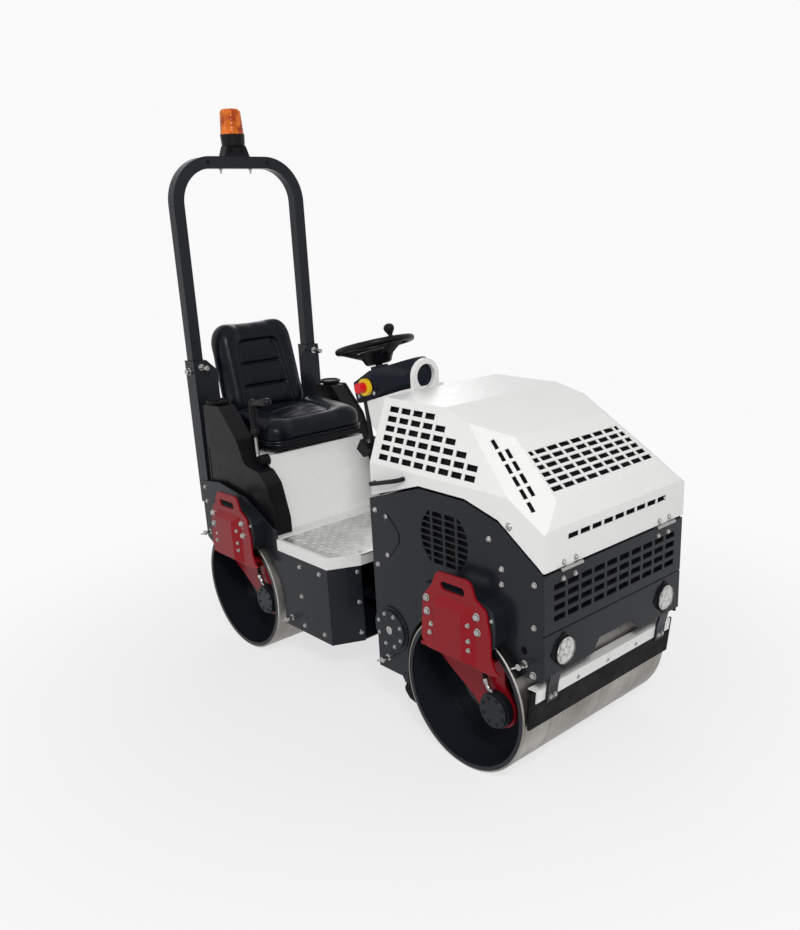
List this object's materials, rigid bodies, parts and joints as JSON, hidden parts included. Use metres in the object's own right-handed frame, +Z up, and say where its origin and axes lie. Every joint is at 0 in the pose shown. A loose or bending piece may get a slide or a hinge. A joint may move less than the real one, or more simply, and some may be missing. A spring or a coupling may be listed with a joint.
{
  "type": "road roller",
  "caption": "Articulated tandem road roller: smooth steel drums on red brackets, vented tilting hood, operator seat, steering wheel and folding roll bar with beacon.",
  "frame": {"origin": "ground level under the middle of the machine's bounding box", "axes": "+X forward to the hood, +Y to the operator's left, +Z up"},
  "size_m": [2.1849, 0.91, 2.312],
  "materials": {
    "frame_paint": "satin charcoal paint",
    "white_paint": "gloss white paint",
    "red_paint": "gloss red paint",
    "drum_steel": "worn rolled steel",
    "tread_metal": "raised pattern plate",
    "black_plastic": "moulded black plastic",
    "vinyl": "black vinyl",
    "console_plastic": "dark textured plastic",
    "rubber": "black rubber blade",
    "amber": "amber lens",
    "lamp_glass": "clear lens",
    "stop_yellow": "yellow plastic",
    "stop_red": "red plastic",
    "engine_grey": "dark engine block",
    "bright_steel": "plated steel"
  },
  "bodies": {
    "rear": {"rear_frame": "frame_paint", "footplate": "white_paint", "tread_plate": "tread_metal", "seat_base": "white_paint", "seat_pan": "black_plastic", "seat_cushion": "vinyl", "seat_back": "vinyl", "water_tanks": "black_plastic", "tank_caps": "black_plastic", "travel_lever": "black_plastic", "rear_cans": "frame_paint", "rear_brackets": "red_paint", "rear_hubs": "frame_paint", "rear_motors": "frame_paint", "rear_scrapers": "rubber", "roll_bar_sockets": "frame_paint", "hitch_fork": "frame_paint", "steering_barrel": "frame_paint"},
    "rear_roller": {"rear_drum": "drum_steel"},
    "hoop": {"roll_bar": "frame_paint", "beacon_base": "black_plastic", "beacon_lens": "amber"},
    "knuckle": {"hitch_knuckle": "frame_paint"},
    "ram": {"steering_rod": "bright_steel"},
    "nose": {"front_frame": "frame_paint", "front_panels": "frame_paint", "front_grille": "frame_paint", "lamp_panel": "frame_paint", "lamp_housings": "black_plastic", "lamp_lenses": "lamp_glass", "front_cans": "frame_paint", "front_brackets": "red_paint", "front_hubs": "frame_paint", "front_motors": "frame_paint", "scraper_bar": "white_paint", "scraper_blade": "rubber", "scraper_hangers": "frame_paint", "hinge_bases": "bright_steel", "engine": "engine_grey", "side_covers": "frame_paint", "dash_tower": "white_paint", "console": "console_plastic", "stop_ring": "stop_yellow", "stop_button": "stop_red", "lifting_eye": "white_paint", "brake_pedal": "black_plastic"},
    "bonnet": {"hood": "white_paint", "hinge_leaves": "bright_steel", "hood_handles": "black_plastic"},
    "front_roller": {"front_drum": "drum_steel"},
    "wheel": {"steering_wheel": "black_plastic"}
  },
  "joints": [
    {"name": "rear_drum_spin", "type": "hinge", "parent": "rear", "child": "rear_roller", "pos_m": [-0.6736, 0, 0.28], "axis": [0, 1, 0], "continuous": true},
    {"name": "roll_bar_fold", "type": "hinge", "parent": "rear", "child": "hoop", "pos_m": [-1.0246, 0, 1.215], "axis": [0, -1, 0], "range_deg": [0, 110]},
    {"name": "articulation", "type": "hinge", "parent": "rear", "child": "knuckle", "pos_m": [0.1344, 0, 0.39], "axis": [0, 0, 1], "range_deg": [-30, 30]},
    {"name": "steering_ram", "type": "slide", "parent": "rear", "child": "ram", "axis": [-1, 0, 0], "range_m": [-0.071, 0.071]},
    {"name": "oscillation", "type": "hinge", "parent": "knuckle", "child": "nose", "pos_m": [0.1344, 0, 0.39], "axis": [1, 0, 0], "range_deg": [-6, 6]},
    {"name": "front_drum_spin", "type": "hinge", "parent": "nose", "child": "front_roller", "pos_m": [0.7264, 0, 0.28], "axis": [0, 1, 0], "continuous": true},
    {"name": "hood_tilt", "type": "hinge", "parent": "nose", "child": "bonnet", "pos_m": [1.0824, 0, 0.806], "axis": [0, 1, 0], "range_deg": [0, 75]},
    {"name": "steering_wheel_spin", "type": "hinge", "parent": "nose", "child": "wheel", "pos_m": [-0.1216, 0, 1.358], "axis": [-0.2588, 0, 0.9659], "continuous": true}
  ],
  "couplings": [
    {"joint": "steering_ram", "follows": "articulation", "m_per_rad": 0.1337}
  ]
}
